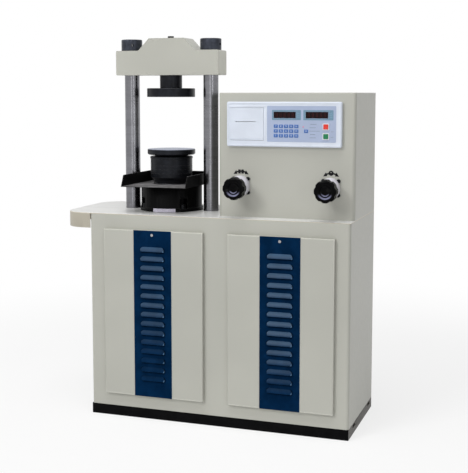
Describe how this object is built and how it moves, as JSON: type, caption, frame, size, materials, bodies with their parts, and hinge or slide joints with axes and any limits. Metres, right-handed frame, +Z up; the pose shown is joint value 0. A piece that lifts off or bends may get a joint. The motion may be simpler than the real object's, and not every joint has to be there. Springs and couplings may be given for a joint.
{
  "type": "compression testing machine",
  "caption": "Two-column hydraulic compression tester on a louvred steel cabinet, with a control tower, digital controller, printer and valve handwheels.",
  "frame": {"origin": "centre of the plinth's footprint on the floor, the middle of the four anchor holes", "axes": "+Z up, +X to the operator's right along the cabinet, +Y from front to back"},
  "size_m": [0.973, 0.388, 1.2485],
  "materials": {
    "cream_paint": "semi-gloss cream grey powder coat",
    "table_paint": "pale semi-gloss paint",
    "grey_paint": "grey paint",
    "black_paint": "satin black paint",
    "blue_paint": "dark blue paint",
    "ground_steel": "ground and polished",
    "dark_steel": "blued steel",
    "zinc_steel": "zinc plated",
    "chrome": "polished",
    "black_plastic": "black phenolic",
    "bezel_plastic": "pale moulded plastic",
    "overlay": "printed membrane",
    "lens": "dark red window",
    "red_plastic": "red button",
    "green_plastic": "green button",
    "board": "circuit board",
    "paper": "plain paper",
    "seal_rubber": "hydraulic seal",
    "motor_paint": "painted casting",
    "pipe_steel": "plain steel tube"
  },
  "bodies": {
    "machine": {"base_cross_rails": "black_paint", "base_side_rails": "grey_paint", "cabinet_floor": "grey_paint", "cabinet_front": "cream_paint", "cabinet_left_side": "cream_paint", "cabinet_right_side": "cream_paint", "cabinet_rear_cover": "cream_paint", "table_top": "table_paint", "load_beam": "black_paint", "beam_pedestals": "black_paint", "left_column": "ground_steel", "right_column": "ground_steel", "column_nuts": "dark_steel", "column_foot_nuts": "dark_steel", "crosshead": "cream_paint", "crosshead_bolt": "dark_steel", "upper_spindle": "dark_steel", "upper_platen": "dark_steel", "cylinder_body": "black_paint", "cylinder_bolts": "zinc_steel", "gland_ring": "zinc_steel", "debris_tray": "black_paint", "tower_shell": "cream_paint", "tower_rear_cover": "cream_paint", "controller_bezel": "bezel_plastic", "keypad_overlay": "overlay", "display_windows": "lens", "controller_board": "board", "printer_module": "bezel_plastic", "delivery_valve_block": "zinc_steel", "return_valve_block": "zinc_steel", "valve_bonnets": "chrome", "pressure_sensor": "zinc_steel", "oil_tank": "grey_paint", "tank_lid": "grey_paint", "filler_cap": "black_plastic", "pump_motor": "motor_paint", "oil_pump": "dark_steel", "pressure_pipes": "pipe_steel", "low_pressure_pipes": "pipe_steel"},
    "ram": {"piston": "ground_steel", "piston_seal": "seal_rubber", "ball_seat_block": "dark_steel"},
    "lower_platen": {"lower_platen": "dark_steel"},
    "left_panel": {"left_panel": "cream_paint", "left_louvre_strip": "blue_paint"},
    "left_panel_lock": {"left_panel_lock": "chrome"},
    "right_panel": {"right_panel": "cream_paint", "right_louvre_strip": "blue_paint"},
    "right_panel_lock": {"right_panel_lock": "chrome"},
    "delivery_valve_stem": {"delivery_spindle": "ground_steel", "delivery_handwheel": "black_plastic"},
    "return_valve_stem": {"return_spindle": "ground_steel", "return_handwheel": "black_plastic"},
    "red_button": {"red_button": "red_plastic"},
    "green_button": {"green_button": "green_plastic"},
    "printer_door": {"printer_door": "bezel_plastic"},
    "paper_roll": {"paper_roll": "paper"},
    "drive_line": {"drive_shaft": "ground_steel"}
  },
  "joints": [
    {"name": "ram_lift", "type": "slide", "parent": "machine", "child": "ram", "axis": [0, 0, 1], "range_m": [0, 0.08]},
    {"name": "ball_seat_tilt", "type": "hinge", "parent": "ram", "child": "lower_platen", "pos_m": [-0.221, 0.005, 0.875], "axis": [1, 0, 0], "range_deg": [-3, 3]},
    {"name": "left_panel_tip", "type": "hinge", "parent": "machine", "child": "left_panel", "pos_m": [-0.208, -0.1813, 0.078], "axis": [1, 0, 0], "range_deg": [0, 30]},
    {"name": "left_lock_turn", "type": "hinge", "parent": "left_panel", "child": "left_panel_lock", "pos_m": [-0.208, -0.1945, 0.609], "axis": [0, -1, 0], "range_deg": [0, 90]},
    {"name": "right_panel_tip", "type": "hinge", "parent": "machine", "child": "right_panel", "pos_m": [0.217, -0.1813, 0.078], "axis": [1, 0, 0], "range_deg": [0, 30]},
    {"name": "right_lock_turn", "type": "hinge", "parent": "right_panel", "child": "right_panel_lock", "pos_m": [0.217, -0.1945, 0.609], "axis": [0, -1, 0], "range_deg": [0, 90]},
    {"name": "delivery_valve_turn", "type": "hinge", "parent": "machine", "child": "delivery_valve_stem", "pos_m": [0.069, -0.186, 0.767], "axis": [0, -1, 0], "range_deg": [0, 1080]},
    {"name": "return_valve_turn", "type": "hinge", "parent": "machine", "child": "return_valve_stem", "pos_m": [0.359, -0.186, 0.767], "axis": [0, -1, 0], "range_deg": [0, 1080]},
    {"name": "red_button_press", "type": "slide", "parent": "machine", "child": "red_button", "axis": [0, 1, 0], "range_m": [0, 0.002], "stiffness_N_per_m": 700},
    {"name": "green_button_press", "type": "slide", "parent": "machine", "child": "green_button", "axis": [0, 1, 0], "range_m": [0, 0.002], "stiffness_N_per_m": 700},
    {"name": "printer_door_open", "type": "hinge", "parent": "machine", "child": "printer_door", "pos_m": [0.088, -0.13675, 0.917], "axis": [1, 0, 0], "range_deg": [0, 80]},
    {"name": "paper_roll_spin", "type": "hinge", "parent": "machine", "child": "paper_roll", "pos_m": [0.088, -0.1045, 0.9615], "axis": [1, 0, 0], "continuous": true},
    {"name": "motor_spin", "type": "hinge", "parent": "machine", "child": "drive_line", "pos_m": [0.156, 0.004, 0.341], "axis": [1, 0, 0], "continuous": true}
  ]
}
